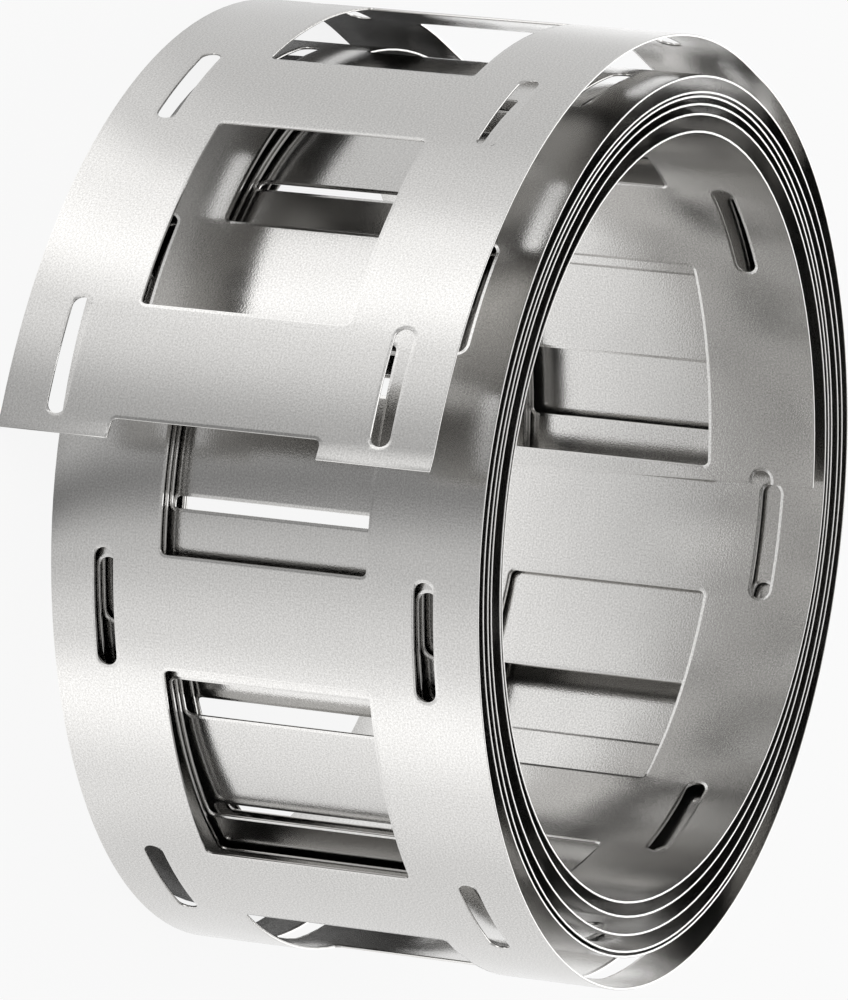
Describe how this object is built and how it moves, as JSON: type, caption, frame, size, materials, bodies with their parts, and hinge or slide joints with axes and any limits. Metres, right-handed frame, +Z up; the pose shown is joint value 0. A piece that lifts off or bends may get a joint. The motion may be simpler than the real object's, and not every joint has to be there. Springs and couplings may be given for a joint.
{
  "type": "nickel strip coil",
  "caption": "Ladder-pattern nickel strip for joining battery cells, with a window between its cross bars and a slot beside each, wound into a loose coil with its tail sprung open.",
  "frame": {"origin": "on the floor below the middle of the coil's box", "axes": "+Z up along the coil's axis, -Y to the front where the tail springs open, +X to the right"},
  "size_m": [0.0568, 0.0592, 0.027],
  "materials": {
    "nickel": "satin rolled nickel sheet with a fine grain"
  },
  "bodies": {
    "root": {"nickel_strip": "nickel"}
  },
  "joints": []
}
